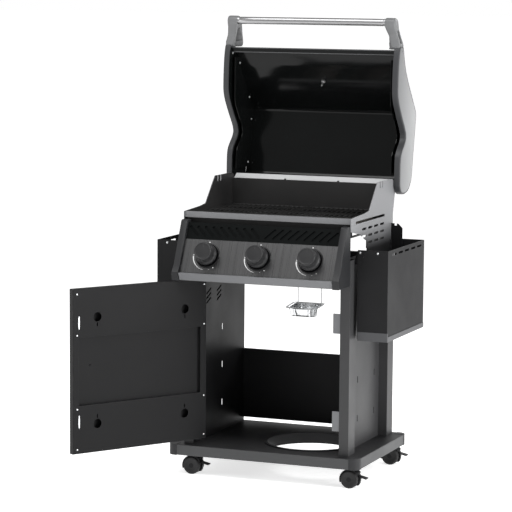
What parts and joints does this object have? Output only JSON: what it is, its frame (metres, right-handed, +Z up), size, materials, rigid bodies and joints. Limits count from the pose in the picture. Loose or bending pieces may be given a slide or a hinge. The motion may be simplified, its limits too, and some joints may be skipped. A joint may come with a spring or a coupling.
{
  "type": "gas barbecue grill",
  "caption": "Gas barbecue on a castered cabinet cart, with an open hinged lid, control knobs, folding side shelves, a hinged door, a drip pan and a foil grease cup.",
  "frame": {"origin": "on the floor, under the middle of the bounding box with lid and door open", "axes": "+Z up, +X to the right of a person facing the controls, -Y towards that person"},
  "size_m": [0.9494, 1.0412, 1.5668],
  "materials": {
    "steel_black": "fine textured black powder coat on folded steel",
    "base_grey": "charcoal powder coat",
    "enamel_black": "gloss black porcelain enamel",
    "cap_silver": "satin silver paint on a cast end cap",
    "firebox_grey": "satin grey heat-proof coating",
    "stainless": "brushed along its length",
    "bright_steel": "bright zinc plate",
    "foil": "bright crinkled foil",
    "iron": "matt porcelain-coated cast iron",
    "brass_part": "machined brass",
    "plastic_dark": "moulded dark grey plastic",
    "plastic_black": "satin black moulded plastic",
    "trim_grey": "grey moulded trim",
    "wheel_rubber": "hard black caster tread"
  },
  "bodies": {
    "cart": {"bottom_shelf": "base_grey", "base_skirt": "base_grey", "corner_caps": "plastic_dark", "side_panel_left": "steel_black", "side_panel_right": "steel_black", "rear_panel": "steel_black", "support_rails": "steel_black", "door_hinge_pins": "steel_black", "magnet_catches": "base_grey", "caster_stems": "bright_steel", "control_panel": "steel_black", "panel_ends": "plastic_dark", "trim_strip": "trim_grey", "vent_insert": "plastic_black", "knob_bezels": "plastic_black", "valve_bodies": "brass_part", "gas_manifold": "bright_steel", "firebox": "firebox_grey", "rear_flange": "bright_steel", "burners": "stainless", "sear_plates": "stainless", "cooking_grids": "iron", "shelf_brackets_left": "steel_black", "shelf_brackets_right": "steel_black", "lid_hinge_pins": "bright_steel"},
    "lid": {"lid_shell": "enamel_black", "lid_cap_left": "cap_silver", "lid_cap_right": "cap_silver", "lid_handle": "stainless", "thermometer": "stainless", "lid_bolts": "bright_steel"},
    "door": {"door_skin": "steel_black", "door_liner": "steel_black", "door_fasteners": "bright_steel"},
    "drip_tray": {"drip_pan": "bright_steel", "cup_hanger": "bright_steel", "foil_cup": "foil"},
    "shelf_left": {"shelf_pan_left": "steel_black", "shelf_trim_left": "trim_grey"},
    "shelf_right": {"shelf_pan_right": "steel_black", "shelf_trim_right": "trim_grey"},
    "stem_1": {"valve_stem_1": "brass_part"},
    "control_knob_1": {"knob_1": "plastic_black"},
    "stem_2": {"valve_stem_2": "brass_part"},
    "control_knob_2": {"knob_2": "plastic_black"},
    "stem_3": {"valve_stem_3": "brass_part"},
    "control_knob_3": {"knob_3": "plastic_black"},
    "caster_1": {"caster_fork_1": "plastic_black"},
    "wheels_1": {"caster_wheels_1": "wheel_rubber"},
    "brake_1": {"caster_brake_1": "plastic_black"},
    "caster_2": {"caster_fork_2": "plastic_black"},
    "wheels_2": {"caster_wheels_2": "wheel_rubber"},
    "brake_2": {"caster_brake_2": "plastic_black"},
    "caster_3": {"caster_fork_3": "plastic_black"},
    "wheels_3": {"caster_wheels_3": "wheel_rubber"},
    "brake_3": {"caster_brake_3": "plastic_black"},
    "caster_4": {"caster_fork_4": "plastic_black"},
    "wheels_4": {"caster_wheels_4": "wheel_rubber"},
    "brake_4": {"caster_brake_4": "plastic_black"}
  },
  "joints": [
    {"name": "lid_hinge", "type": "hinge", "parent": "cart", "child": "lid", "pos_m": [0.05314, 0.36174, 0.988], "axis": [1, 0, 0], "range_deg": [0, 96.5]},
    {"name": "door_hinge", "type": "hinge", "parent": "cart", "child": "door", "pos_m": [-0.18686, -0.09226, 0.39], "axis": [0, 0, 1], "range_deg": [-15, 123]},
    {"name": "drip_tray_slide", "type": "slide", "parent": "cart", "child": "drip_tray", "axis": [0, 1, 0], "range_m": [0, 0.3]},
    {"name": "shelf_left_fold", "type": "hinge", "parent": "cart", "child": "shelf_left", "pos_m": [-0.27686, 0.14774, 0.78], "axis": [0, 1, 0], "range_deg": [0, 90]},
    {"name": "shelf_right_fold", "type": "hinge", "parent": "cart", "child": "shelf_right", "pos_m": [0.38314, 0.14774, 0.78], "axis": [0, -1, 0], "range_deg": [0, 90]},
    {"name": "knob_push_1", "type": "slide", "parent": "cart", "child": "stem_1", "axis": [0, 0.9063, -0.4226], "range_m": [0, 0.004], "stiffness_N_per_m": 800, "springref_m": -0.004},
    {"name": "knob_turn_1", "type": "hinge", "parent": "stem_1", "child": "control_knob_1", "pos_m": [-0.13286, -0.17219, 0.77764], "axis": [0, -0.9063, 0.4226], "range_deg": [0, 135]},
    {"name": "knob_push_2", "type": "slide", "parent": "cart", "child": "stem_2", "axis": [0, 0.9063, -0.4226], "range_m": [0, 0.004], "stiffness_N_per_m": 800, "springref_m": -0.004},
    {"name": "knob_turn_2", "type": "hinge", "parent": "stem_2", "child": "control_knob_2", "pos_m": [0.05314, -0.17219, 0.77764], "axis": [0, -0.9063, 0.4226], "range_deg": [0, 135]},
    {"name": "knob_push_3", "type": "slide", "parent": "cart", "child": "stem_3", "axis": [0, 0.9063, -0.4226], "range_m": [0, 0.004], "stiffness_N_per_m": 800, "springref_m": -0.004},
    {"name": "knob_turn_3", "type": "hinge", "parent": "stem_3", "child": "control_knob_3", "pos_m": [0.23914, -0.17219, 0.77764], "axis": [0, -0.9063, 0.4226], "range_deg": [0, 135]},
    {"name": "caster_swivel_1", "type": "hinge", "parent": "cart", "child": "caster_1", "pos_m": [-0.23486, -0.07326, 0.06], "axis": [0, 0, 1], "continuous": true},
    {"name": "wheel_roll_1", "type": "hinge", "parent": "caster_1", "child": "wheels_1", "pos_m": [-0.21486, -0.07326, 0.03], "axis": [0, 1, 0], "continuous": true},
    {"name": "brake_pedal_1", "type": "hinge", "parent": "caster_1", "child": "brake_1", "pos_m": [-0.19286, -0.07326, 0.041], "axis": [0, 1, 0], "range_deg": [0, 10]},
    {"name": "caster_swivel_2", "type": "hinge", "parent": "cart", "child": "caster_2", "pos_m": [0.34114, -0.07326, 0.06], "axis": [0, 0, 1], "continuous": true},
    {"name": "wheel_roll_2", "type": "hinge", "parent": "caster_2", "child": "wheels_2", "pos_m": [0.36114, -0.07326, 0.03], "axis": [0, 1, 0], "continuous": true},
    {"name": "brake_pedal_2", "type": "hinge", "parent": "caster_2", "child": "brake_2", "pos_m": [0.38314, -0.07326, 0.041], "axis": [0, 1, 0], "range_deg": [0, 10]},
    {"name": "caster_swivel_3", "type": "hinge", "parent": "cart", "child": "caster_3", "pos_m": [0.34114, 0.35274, 0.06], "axis": [0, 0, 1], "continuous": true},
    {"name": "wheel_roll_3", "type": "hinge", "parent": "caster_3", "child": "wheels_3", "pos_m": [0.36114, 0.35274, 0.03], "axis": [0, 1, 0], "continuous": true},
    {"name": "brake_pedal_3", "type": "hinge", "parent": "caster_3", "child": "brake_3", "pos_m": [0.38314, 0.35274, 0.041], "axis": [0, 1, 0], "range_deg": [0, 10]},
    {"name": "caster_swivel_4", "type": "hinge", "parent": "cart", "child": "caster_4", "pos_m": [-0.23486, 0.35274, 0.06], "axis": [0, 0, 1], "continuous": true},
    {"name": "wheel_roll_4", "type": "hinge", "parent": "caster_4", "child": "wheels_4", "pos_m": [-0.21486, 0.35274, 0.03], "axis": [0, 1, 0], "continuous": true},
    {"name": "brake_pedal_4", "type": "hinge", "parent": "caster_4", "child": "brake_4", "pos_m": [-0.19286, 0.35274, 0.041], "axis": [0, 1, 0], "range_deg": [0, 10]}
  ]
}
